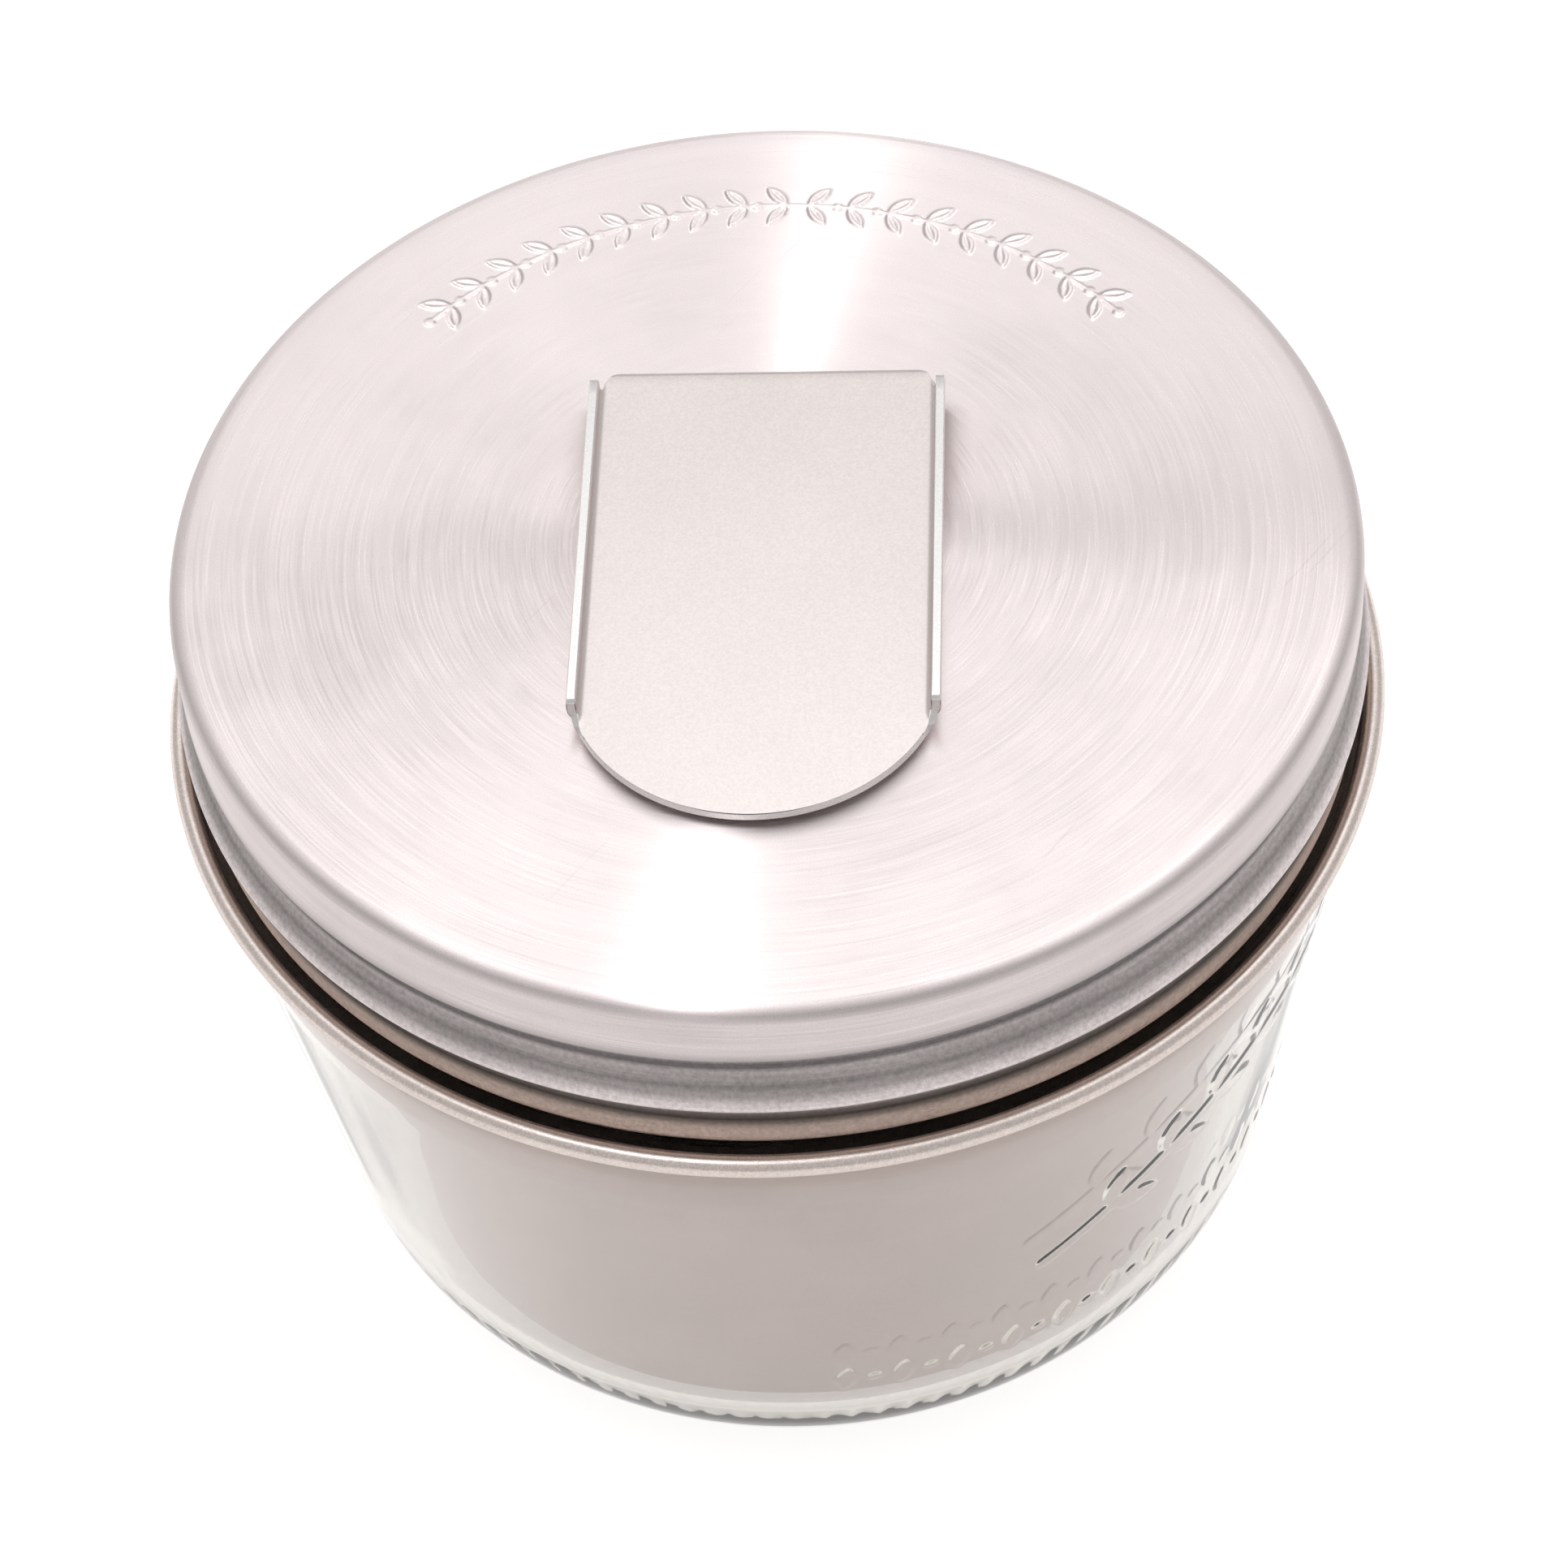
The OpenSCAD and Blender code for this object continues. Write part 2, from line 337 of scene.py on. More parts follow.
def set_inputs(tree, node, **values):
    """Sets inputs by name, with _ for a space; each value may also be a socket."""
    for label, value in values.items():
        socket = node.inputs[label.replace("_", " ")]
        if isinstance(value, bpy.types.NodeSocket):
            link(tree, value, socket)
        else:
            socket.default_value = value


def fill(tree, sockets, values):
    """Gives each socket its value: another socket, a number, a colour, or None to leave it."""
    for socket, value in zip(sockets, values):
        if isinstance(value, bpy.types.NodeSocket):
            link(tree, value, socket)
        elif isinstance(value, (int, float)):
            socket.default_value = value
        elif value is not None:
            socket.default_value = (*value[:3], 1.0)


def maths(tree, operation, a, b=None):
    """A Math node; each value is a number or a socket. Returns its output."""
    node = tree.nodes.new("ShaderNodeMath")
    node.operation = operation
    fill(tree, node.inputs, (a, b))
    return node.outputs[0]


def times(tree, a, b):
    return maths(tree, "MULTIPLY", a, b)


def past(tree, value, start, gain):
    """How far the value is past start, times gain, kept between 0 and 1."""
    over = times(tree, maths(tree, "SUBTRACT", value, start), gain)
    return maths(tree, "MAXIMUM", maths(tree, "MINIMUM", over, 1.0), 0.0)


def noise(tree, vector, scale, detail=2.0, rough=0.5):
    node = tree.nodes.new("ShaderNodeTexNoise")
    set_inputs(tree, node, Vector=vector, Scale=scale, Detail=detail, Roughness=rough)
    return node.outputs["Fac"]


def vector_of(tree, x, y, z):
    node = tree.nodes.new("ShaderNodeCombineXYZ")
    fill(tree, node.inputs, (x, y, z))
    return node.outputs[0]


def scaled(tree, vector, rate):
    node = tree.nodes.new("ShaderNodeVectorMath")
    node.operation = "SCALE"
    link(tree, vector, node.inputs[0])
    link(tree, rate, node.inputs["Scale"])
    return node.outputs[0]


def place_of(tree):
    """The point's own coordinates in metres, as x, y, z sockets and as one vector."""
    place = tree.nodes.new("ShaderNodeTexCoord")
    split = tree.nodes.new("ShaderNodeSeparateXYZ")
    link(tree, place.outputs["Object"], split.inputs[0])
    return split.outputs[0], split.outputs[1], split.outputs[2], place.outputs["Object"]


def ring_brushing(name):
    """Fine lines that run round the axis, as on turned or spun sheet."""
    upright, broad = 1.3, 0.09      # how much height counts beside radius; how wide the sweeps are
    group, given, result = new_group(
        name, {"Lines per metre": 7000.0, "Breaks": 3.5}, {"Lines": NUMBER, "Sweep": NUMBER}
    )
    x, y, z, _ = place_of(group)
    radius = maths(group, "SQRT", maths(group, "ADD", times(group, x, x), times(group, y, y)))
    safe = maths(group, "MAXIMUM", radius, 1e-5)
    slope = maths(group, "SUBTRACT", radius, times(group, z, upright))
    across = times(group, slope, given[0])
    turn_x = times(group, maths(group, "DIVIDE", x, safe), given[1])
    turn_y = times(group, maths(group, "DIVIDE", y, safe), given[1])
    fine = noise(group, vector_of(group, across, turn_x, turn_y), 1.0, 3.0, 0.65)
    wide = noise(group, vector_of(group, times(group, across, broad), turn_x, turn_y), 1.0, 2.0)
    set_inputs(group, result, Lines=fine, Sweep=wide)
    return group


def straight_brushing(name):
    """Fine lines that run along Y, as on rolled strip."""
    upright = 0.7                   # how much height counts beside width
    group, given, result = new_group(
        name, {"Lines per metre": 9000.0, "Length per metre": 120.0}, {"Lines": NUMBER}
    )
    x, y, z, _ = place_of(group)
    across = times(group, maths(group, "ADD", x, times(group, z, upright)), given[0])
    along = times(group, y, given[1])
    set_inputs(group, result, Lines=noise(group, vector_of(group, across, along, 0.0), 1.0, 3.0, 0.65))
    return group


def sheet_grain(name):
    """Fine speckle of a bead-blasted or tumbled sheet, and its slow cloudiness."""
    group, given, result = new_group(
        name, {"Grains per metre": 9000.0, "Clouds per metre": 60.0}, {"Grain": NUMBER, "Cloud": NUMBER}
    )
    place = place_of(group)[3]
    for label, rate, detail in (("Grain", 0, 2.0), ("Cloud", 1, 3.0)):
        vector = scaled(group, place, given[rate])
        link(group, noise(group, vector, 1.0, detail, 0.6), result.inputs[label])
    return group


def pressed_waves(name):
    """Slow upright waves, as in the side of pressed glass."""
    group, given, result = new_group(
        name, {"Waves per metre": 85.0, "Streaks per metre": 13.0}, {"Waves": NUMBER}
    )
    x, y, z, _ = place_of(group)
    across = [times(group, side, given[0]) for side in (x, y)]
    vector = vector_of(group, *across, times(group, z, given[1]))
    set_inputs(group, result, Waves=noise(group, vector, 1.0, 1.0))
    return group


def handling_marks(name):
    """Smudges and a few fine straight scratches left by use."""
    group, given, result = new_group(
        name, {"Smudge size": 45.0, "Scratch turn": 0.95}, {"Smudge": NUMBER, "Scratch": NUMBER}
    )
    x, y, z, place = place_of(group)
    smudge = noise(group, scaled(group, place, given[0]), 1.0, 4.0, 0.62)
    cos, sin = maths(group, "COSINE", given[1]), maths(group, "SINE", given[1])
    along = maths(group, "ADD", times(group, x, cos), times(group, y, sin))
    across = maths(group, "SUBTRACT", times(group, y, cos), times(group, x, sin))
    rates = ((along, 55.0), (across, 2600.0), (z, 40.0))
    stretched = vector_of(group, *[times(group, way, rate) for way, rate in rates])
    thin = past(group, noise(group, stretched, 1.0, 1.0), 0.70, 9.0)
    patches = noise(group, vector_of(group, along, across, z), 90.0, 2.0)
    scratch = times(group, thin, past(group, patches, 0.56, 9.0))
    set_inputs(group, result, Smudge=smudge, Scratch=scratch)
    return group


def recess_shade(name):
    """Turns the depth kept at each point into painted shade and highlight: light faces, a lighter bead,
    dark seams and brownish recesses where shade falls; also a mask where deep recesses hold dirt.
    """
    group, given, result = new_group(name, {"Depth": 0.0}, {"Tone": COLOUR, "Dirt": NUMBER})
    ramp = group.nodes.new("ShaderNodeValToRGB")
    ramp.color_ramp.interpolation = "LINEAR"
    for _ in PAINTED_RECESS_SHADE[2:]:
        ramp.color_ramp.elements.new(0.5)
    for element, (depth, tone) in zip(ramp.color_ramp.elements, PAINTED_RECESS_SHADE):
        warm = 1.0 - 0.12 * max(0.0, min(1.0, (depth - WARM_START) / WARM_SPAN))
        element.position = depth / SHADE_DEPTH
        element.color = (tone, tone * (0.985 * warm), tone * (0.985 * warm * warm), 1.0)
    depth = given["Depth"]
    set_inputs(group, ramp, Fac=times(group, depth, 1000 / SHADE_DEPTH))
    dirt = past(group, depth, DIRT_START, DIRT_GAIN)
    set_inputs(group, result, Tone=ramp.outputs["Color"], Dirt=dirt)
    return group


# ---- materials ----
LINE_DEPTH = 0.02 * MM  # full height of brushed lines and grain


def new_material(name):
    """A new material, with its tree and its main shader."""
    material = bpy.data.materials.new(name)
    material.use_nodes = True
    tree = material.node_tree
    return material, tree, tree.nodes["Principled BSDF"]


def placed(tree, build, **values):
    """The outputs of the group that build makes; a group is made once and named after build."""
    name = build.__name__.replace("_", " ").capitalize()
    group = bpy.data.node_groups.get(name) or build(name)
    node = tree.nodes.new("ShaderNodeGroup")
    node.node_tree = group
    set_inputs(tree, node, **values)
    return node.outputs


def ranged(tree, value, low, high, start=0.3, end=0.7):
    """The value spread from low to high."""
    node = tree.nodes.new("ShaderNodeMapRange")
    set_inputs(tree, node, Value=value, From_Min=start, From_Max=end, To_Min=low, To_Max=high)
    return node.outputs["Result"]


def mixed(tree, amount, first, second, blend="MIX"):
    """A colour between two colours; each is a colour value or a socket."""
    node = tree.nodes.new("ShaderNodeMix")
    node.data_type = "RGBA"
    node.blend_type = blend
    fill(tree, (node.inputs[0], node.inputs[6], node.inputs[7]), (amount, first, second))
    return node.outputs[2]


def blended(tree, value, spread, first, second):
    """From the first colour to the second as the value goes through its range."""
    return mixed(tree, ranged(tree, value, *spread), first, second)


def tinted(tree, shade, colour):
    """A colour times a shade; the shade is a number or colour socket."""
    return mixed(tree, 1.0, colour, shade, "MULTIPLY")


def toned(tree, value, low, high, colour):
    """The colour made darker or lighter by the value, from low to high times."""
    return tinted(tree, ranged(tree, value, low, high), colour)


def darker(colour, k):
    return tuple(c * k for c in colour[:3])


def bumped(tree, height, strength, distance, shader, before=None):
    """A Bump node on the shader's normal; a second one may come before it."""
    node = tree.nodes.new("ShaderNodeBump")
    set_inputs(tree, node, Height=height, Strength=strength, Distance=distance)
    if before:
        link(tree, before.outputs[0], node.inputs["Normal"])
    link(tree, node.outputs[0], shader.inputs["Normal"])
    return node


def depth_of(tree):
    """The depth that the mesh keeps at each point, in metres."""
    node = tree.nodes.new("ShaderNodeAttribute")
    node.attribute_name = "depth"
    return node.outputs["Fac"]


def turned_steel(
    name, colour, rough, stretch, bump, grain_bump, dirt_and_painted_shade=False, underside=False,
    speckle=0.06, mottle=0.0,
):
    """Steel with a finish of fine lines round the axis, some grain and slight handling marks; it may also
    take painted shade by depth, in recesses with dirt specks there and on a roll's underside.
    """
    material, tree, shader = new_material(name)
    lines = placed(tree, ring_brushing)
    grain = placed(tree, sheet_grain)
    marks = placed(tree, handling_marks)
    light, dark = darker(colour, 1.012), darker(colour, 0.985)
    tone = blended(tree, lines["Sweep"], (0.0, 1.0), dark, light)
    worn = blended(tree, marks["Smudge"], (0.0, 0.35, 0.5, 0.8), tone, darker(colour, 0.90))
    scored = blended(tree, marks["Scratch"], (0.0, 0.5, 0.0, 1.0), worn, darker(colour, 0.74))
    clouded = toned(tree, grain["Cloud"], 1.0 - mottle, 1.0 + mottle, scored)
    speckled = toned(tree, grain["Grain"], 1.0 - speckle, 1.0 + speckle, clouded)
    # Painted shade and highlight: the depth ramp darkens seams and recesses, browns the deepest band and
    # lightens the bead; dirt specks go into the deep recesses.
    if dirt_and_painted_shade:
        shade = placed(tree, recess_shade, Depth=depth_of(tree))
        specks = placed(tree, sheet_grain, Grains_per_metre=2600.0)
        dirty = toned(tree, specks["Grain"], 0.84, 1.13, speckled)
        soiled = mixed(tree, shade["Dirt"], speckled, dirty)
        speckled = tinted(tree, shade["Tone"], soiled)
    # Painted shade: the lower half of the roll is darkened by depth, as if turned away from the light;
    # coarse grain specks come too.
    if underside:
        specks = placed(tree, sheet_grain, Grains_per_metre=3200.0)
        speckled = toned(tree, specks["Grain"], 0.92, 1.07, speckled)
        shade = ranged(tree, depth_of(tree), 1.0, 0.72, 0.25 * MM, 0.6 * MM)
        speckled = tinted(tree, shade, speckled)
    brushed = ranged(tree, lines["Lines"], rough - 0.05, rough + 0.06)
    greasy = ranged(tree, marks["Smudge"], -0.02, 0.05)
    tangent = tree.nodes.new("ShaderNodeTangent")
    tangent.direction_type = "RADIAL"
    tangent.axis = "Z"
    roughness = maths(tree, "ADD", brushed, greasy)
    set_inputs(tree, shader, Base_Color=speckled, Metallic=1.0, Roughness=roughness)
    set_inputs(tree, shader, Anisotropic=stretch, Anisotropic_Rotation=0.25, Tangent=tangent.outputs[0])
    fine = bumped(tree, lines["Lines"], bump, LINE_DEPTH, shader)
    bumped(tree, grain["Grain"], grain_bump, LINE_DEPTH, shader, fine)
    return material


def strip_steel(name, colour, rough):
    """Steel strip brushed along its length."""
    material, tree, shader = new_material(name)
    lines = placed(tree, straight_brushing)
    grain = placed(tree, sheet_grain, Grains_per_metre=5000.0)
    marks = placed(tree, handling_marks, Scratch_turn=0.9)
    tone = blended(tree, grain["Cloud"], (0.0, 1.0), darker(colour, 0.975), darker(colour, 1.02))
    scored = blended(tree, marks["Scratch"], (0.0, 0.55, 0.0, 1.0), tone, darker(colour, 0.72))
    speckled = toned(tree, grain["Grain"], 0.94, 1.05, scored)
    brushed = ranged(tree, lines["Lines"], rough - 0.04, rough + 0.05)
    set_inputs(tree, shader, Base_Color=speckled, Metallic=1.0, Roughness=brushed)
    fine = bumped(tree, lines["Lines"], 0.15, LINE_DEPTH, shader)
    bumped(tree, grain["Grain"], 0.12, LINE_DEPTH, shader, fine)
    return material


def clear_glass(tint):
    """Pressed glass with slow waves in its surface and a faint tint where it is thick."""
    material, tree, shader = new_material("Clear pressed glass")
    grain = placed(tree, sheet_grain, Clouds_per_metre=95.0)
    # The grey-pink glass colour is painted shade: it darkens the glass as dark surroundings seen through
    # it would.
    set_inputs(tree, shader, Base_Color=(0.73, 0.706, 0.72, 1.0), Metallic=0.0, Transmission_Weight=1.0)
    set_inputs(tree, shader, IOR=1.5, Roughness=ranged(tree, grain["Cloud"], 0.0, 0.02))
    waves = placed(tree, pressed_waves)
    bumped(tree, waves["Waves"], 0.6, 0.30 * MM, shader)
    depth = tree.nodes.new("ShaderNodeVolumeAbsorption")
    set_inputs(tree, depth, Color=(*tint[:3], 1.0), Density=50.0)
    link(tree, depth.outputs[0], tree.nodes["Material Output"].inputs["Volume"])
    return material


def silicone():
    """Soft translucent white silicone with a little dust in its grain."""
    material, tree, shader = new_material("White silicone")
    grain = placed(tree, sheet_grain, Grains_per_metre=3000.0)
    tone = blended(tree, grain["Cloud"], (0.0, 1.0), (0.80, 0.79, 0.76), (0.88, 0.87, 0.85))
    set_inputs(tree, shader, Base_Color=tone, Roughness=ranged(tree, grain["Grain"], 0.42, 0.58))
    set_inputs(tree, shader, Subsurface_Weight=0.25, Subsurface_Radius=(0.002, 0.002, 0.0018))
    bumped(tree, grain["Grain"], 0.25, 0.03 * MM, shader)
    return material


# ---- glass jar ----
ORNAMENT = math.radians(-38)  # middle of the raised sprig, as an angle round the jar
SPRIG_HEIGHT = 39 * MM  # middle of the raised sprig above the floor
BORDER_HEIGHT = 16.5 * MM  # middle of the raised border above the floor
BORDER_ZONE = (13.5 * MM, 19.5 * MM)  # heights between which the mesh is fine
SPRIG_ZONE = (25.5 * MM, 46 * MM)
BORDER_STEP = 4.6 * MM  # from one lozenge to the next
THREAD_TURNS = 1.25
THREAD_START = JAR_HIGH[2] - 3.6 * MM - PITCH * THREAD_TURNS
THREAD_HALF = 1.1 * MM  # half the thread's width
THREAD_RISE = 1.3 * MM
SEAMS = (math.radians(205), math.radians(25))  # places of the moulding seams
SEAM_WIDTH, SEAM_RISE = 0.35 * MM, 0.12 * MM
RIBS_FROM, RIBS_TO = 27 * MM, 36.5 * MM  # radii between which the base is ribbed
RIB_RISE = 0.28 * MM
PUNT = 1.2 * MM  # how far the base is raised inside its foot
CUP_GAP = 1.0 * MM  # air between the glass floor and the cup
CUP_PLAY = 3.2 * MM  # air between the mouth and the cup's side


def sprig(u, v):
    """A slanting stem with pairs of leaves and a few berries; u runs round the jar, v upward."""
    stem = [(-17 * MM + 5.2 * MM * k, -11 * MM + 3.6 * MM * k - 0.25 * MM * k * k) for k in range(8)]
    height = smooth(line_mark(u, v, stem, 1.9 * MM) * 2.2)
    for k, (x, y) in enumerate(stem[1:]):
        for side in (-1, 1):
            lean = math.radians(32 + side * 48)
            leaf_x, leaf_y = x + 3.1 * MM * math.cos(lean), y + 3.1 * MM * math.sin(lean)
            leaf = leaf_mark(u, v, leaf_x, leaf_y, 6.0 * MM, 2.8 * MM, lean)
            height = raised(height, leaf, 2.4)
        berry = dot_mark(u, v, x + 2.4 * MM, y + 0.4 * MM * (k % 3), 1.0 * MM)
        height = raised(height, berry, 2.0)
    return height


def border(u, v):
    """A row of upright lozenges with small dots between them."""
    height = np.zeros(np.shape(u))
    for k in range(-7, 8):
        x = BORDER_STEP * k
        lozenge = leaf_mark(u, v, x, 0.0, 4.4 * MM, 2.1 * MM, math.pi / 2)
        height = raised(height, lozenge, 2.2)
        height = raised(height, dot_mark(u, v, x + BORDER_STEP / 2, 0.0, 0.7 * MM), 2.0)
    return height


def jar_shape(size, neck):
    """Moves the jar's points for its thread, its raised ornament and the ribs round its base."""

    def shape(r, z, a):
        lift = np.zeros(r.shape)
        for lap in range(-1, 3):
            turn = a / (2 * math.pi) + lap
            middle = THREAD_START + PITCH * turn
            ends = smooth(turn / 0.06) * smooth((THREAD_TURNS - turn) / 0.06)
            across = np.abs(z - middle) / THREAD_HALF
            lift = np.maximum(lift, ends * smooth((1 - across) / 0.55))
        on_neck = (r > neck - 0.01 * MM) & (r < neck + 0.01 * MM)
        r = r + np.where(on_neck, lift * THREAD_RISE, 0.0)
        on_side = (r > 36 * MM) & (z > 6 * MM) & (z < SHOULDER - 2 * MM)
        outside = on_side & (np.abs(r - wall_at(size, z)) < 0.3 * MM)
        u = turned_from(a, ORNAMENT) * r
        mark = np.maximum(sprig(u, z - SPRIG_HEIGHT), border(u, z - BORDER_HEIGHT))
        r = r + np.where(outside, mark * size.relief, 0.0)
        seam = sum(np.exp(-((turned_from(a, side) * r / SEAM_WIDTH) ** 2)) for side in SEAMS)
        r = r + np.where(outside, seam * SEAM_RISE, 0.0)
        foot = smooth((r - RIBS_FROM) / (1.2 * MM)) * smooth((RIBS_TO - r) / (3 * MM)) * (z < 4 * MM)
        z = z + foot * RIB_RISE * (0.5 + 0.5 * np.cos(a * size.ribs))
        return r, z

    return shape


def wall_at(size, z):
    """The outer radius of the jar's side at height z."""
    top = FLANGE + size.neck_inset + size.shoulder
    return top - size.taper + size.taper * z / SHOULDER


class JAR_OT_glass(bpy.types.Operator):
    """Make the glass jar with its thread, raised sprig, border and ribbed base"""

    bl_idname = "jar.glass"
    bl_label = "Glass jar"

    def execute(self, context):
        size = context.scene.jar_sizes
        neck = FLANGE + size.neck_inset
        mouth = neck - size.lip
        lip = JAR_HIGH[2]
        top = neck + size.shoulder
        heel = top - size.taper
        slope = math.atan(size.taper / SHOULDER)
        level_wall = size.wall / math.cos(slope)
        floor = CUP_LOW[2] - CUP_GAP
        drop = SHOULDER - 6 * MM
        outline = rounded([
            (0, PUNT, 0),
            (heel - 13.5 * MM, PUNT, 1 * MM),
            (heel - 12 * MM, 0, 1 * MM),
            (heel, 0, 12 * MM),
            *[(wall_at(size, z), z, 0) for z in (*BORDER_ZONE, *SPRIG_ZONE)],
            (top, SHOULDER, 2.2 * MM),
            (neck, SHOULDER, 0.4 * MM),
            (neck, lip, 1.6 * MM),
            (mouth, lip, 1.4 * MM),
            (mouth, lip - 9 * MM, 8 * MM),
            (wall_at(size, drop) - level_wall, drop, 8 * MM),
            (wall_at(size, floor) - level_wall, floor, 8 * MM),
            (0, floor, 0),
        ], 10)

        def step(r, z):
            outside = r > wall_at(size, z) - 1 * MM
            if outside and any(low < z < high for low, high in (BORDER_ZONE, SPRIG_ZONE)):
                return 0.23 * MM
            return 0.3 * MM if abs(r - neck) < 0.1 * MM else 2.2 * MM

        angles = all_round(0.9, math.degrees(ORNAMENT), 48, 0.28)
        points, faces = spun(divided(outline, step), angles, jar_shape(size, neck))
        glass = clear_glass(size.tint)
        add_mesh("jar_glass", points, faces, [glass], "jar", ["glass_jar"], 50)
        return {"FINISHED"}


# ---- steel cup ----
class JAR_OT_cup(bpy.types.Operator):
    """Make the steel cup that hangs in the jar"""

    bl_idname = "jar.cup"
    bl_label = "Steel cup"

    def execute(self, context):
        size = context.scene.jar_sizes
        steel = context.scene.steel_looks
        radius = FLANGE + size.neck_inset - size.lip - CUP_PLAY
        outer = rounded([
            (FLANGE, JAR_HIGH[2], 0),
            (radius, JAR_HIGH[2], 1 * MM),
            (radius, CUP_LOW[2], 4.5 * MM),
            (0, CUP_LOW[2], 0),
        ], 12)
        inner = beside(outer, SHEET)[::-1]
        rim = arc(FLANGE - 0.02 * MM, JAR_HIGH[2] + SHEET / 2, SHEET / 2, 90, -90, 8)
        outline = np.vstack([inner, rim, outer[1:]])
        outline = divided(outline, lambda r, z: 2.5 * MM)
        material = turned_steel(
            "Cup steel", steel.cup, rough=0.36, stretch=0.35, bump=0.10, grain_bump=0.30,
            speckle=0.10, mottle=0.05,
        )
        points, faces = spun(outline, all_round(1.0))
        add_mesh("cup_steel", points, faces, [material], "jar", ["steel_cup"])
        return {"FINISHED"}


# ---- neck ring ----
class JAR_OT_ring(bpy.types.Operator):
    """Make the ring with the rolled edge that sits on the shoulder"""

    bl_idname = "jar.ring"
    bl_label = "Neck ring"

    def execute(self, context):
        roll = 0.85 * MM
        x, z = RING_HIGH[0] - roll, RING_HIGH[2] - roll
        inside = FLANGE + context.scene.jar_sizes.neck_inset + 0.6 * MM
        under = rounded([
            (inside, SHOULDER, 0),
            (x - 0.68 * MM, SHOULDER, 0.8 * MM),
            (x + 0.7 * MM, z - 0.7 * MM, 0),
        ], 8)[:-1]
        edge = arc(x, z, roll, -62, 205, 40)
        back = np.array([[x - 0.30 * MM, z - 0.30 * MM], [x - 0.62 * MM, z - 0.62 * MM]])
        top = np.array([[x - 1.1 * MM, SHOULDER + SHEET + 0.02 * MM], [inside, SHOULDER + SHEET]])
        outline = np.vstack([under, edge, back, top])
        steel = context.scene.steel_looks
        # The ring's underside takes painted shade from the depth mask kept below.
        material = turned_steel(
            "Ring steel", steel.ring, rough=0.30, stretch=0.25, bump=0.10, grain_bump=0.55,
            underside=True, speckle=0.16,
        )
        points, faces = spun(outline, all_round(0.8), ring=True)
        masks = {"depth": np.clip(RING_HIGH[2] - points[:, 2], 0, None)}
        add_mesh("ring_rolled", points, faces, [material], "jar", ["neck_ring"], masks=masks)
        return {"FINISHED"}


# ---- gasket ----
class JAR_OT_gasket(bpy.types.Operator):
    """Make the silicone gasket inside the lid"""

    bl_idname = "jar.gasket"
    bl_label = "Gasket"

    def execute(self, context):
        low, high = SEAL_LOW[2], SEAL_HIGH[2]
        inner, outer = SEAL_HIGH[0] - 7.5 * MM, SEAL_HIGH[0]
        middle, groove = (low + high) / 2, 0.25 * MM
        cut = ((3.6 * MM, 0.0), (3.4 * MM, groove), (2.8 * MM, groove), (2.6 * MM, 0.0))
        outline = rounded([
            (inner, middle, 0),
            (inner, low, 0.3 * MM),
            *[(outer - inward, low + up, 0.2 * MM) for inward, up in cut],
            (outer, low, 0.3 * MM),
            (outer, high, 0.3 * MM),
            (inner, high, 0.3 * MM),
            (inner, middle + 0.01 * MM, 0),
        ], 5)
        points, faces = spun(outline, all_round(1.5), ring=True)
        add_mesh("gasket_ring", points, faces, [silicone()], "seal", ["lid_gasket"])
        return {"FINISHED"}


# ---- lid ----
GARLAND_RADIUS = 35.8 * MM
GARLAND_HALF = math.radians(49.5)
GARLAND_PAIRS = 9  # leaf pairs on each side of the middle one
GROOVE_DROP = 5.4 * MM  # from the lid's top to the rolled groove
BEAD_DROP = 5.55 * MM  # from the groove to the bead
CURL = 0.7 * MM  # radius of the curled lower edge
LEAN_DEPTHS = (2.0, 5.0, 6.8, 10.8, 13.0)  # millimetres under the top
LEAN_SHARES = (0.0, 1.0, 1.0, 0.35, 0.0)  # how much of the thread's lean each depth takes


def garland(r, a):
    """A stamped band of leaf pairs and berries along an arc at the back of the lid."""
    u = turned_from(a, math.pi / 2) * GARLAND_RADIUS
    v = r - GARLAND_RADIUS
    reach = GARLAND_HALF * GARLAND_RADIUS
    height = np.zeros(np.shape(u))
    pitch = 2 * reach / (2 * GARLAND_PAIRS + 1)
    for k in range(-GARLAND_PAIRS, GARLAND_PAIRS + 1):
        x = pitch * k
        way = 1 if k >= 0 else -1
        for side in (-1, 1):
            lean = way * side * math.radians(52) + (0 if way > 0 else math.pi)
            mark = leaf_mark(u, v, x, side * 1.05 * MM, 2.9 * MM, 1.25 * MM, lean)
            vein = leaf_mark(u, v, x, side * 1.05 * MM, 2.0 * MM, 0.36 * MM, lean)
            height = np.maximum(height, smooth(mark * 3.2) - 0.6 * smooth(vein * 4))
        height = raised(height, dot_mark(u, v, x + way * pitch / 2, 0.0, 0.5 * MM), 2.5)
    stem = line_mark(u, v, [(-reach, 0.0), (reach, 0.0)], 0.42 * MM)
    return raised(height, stem, 2.0)


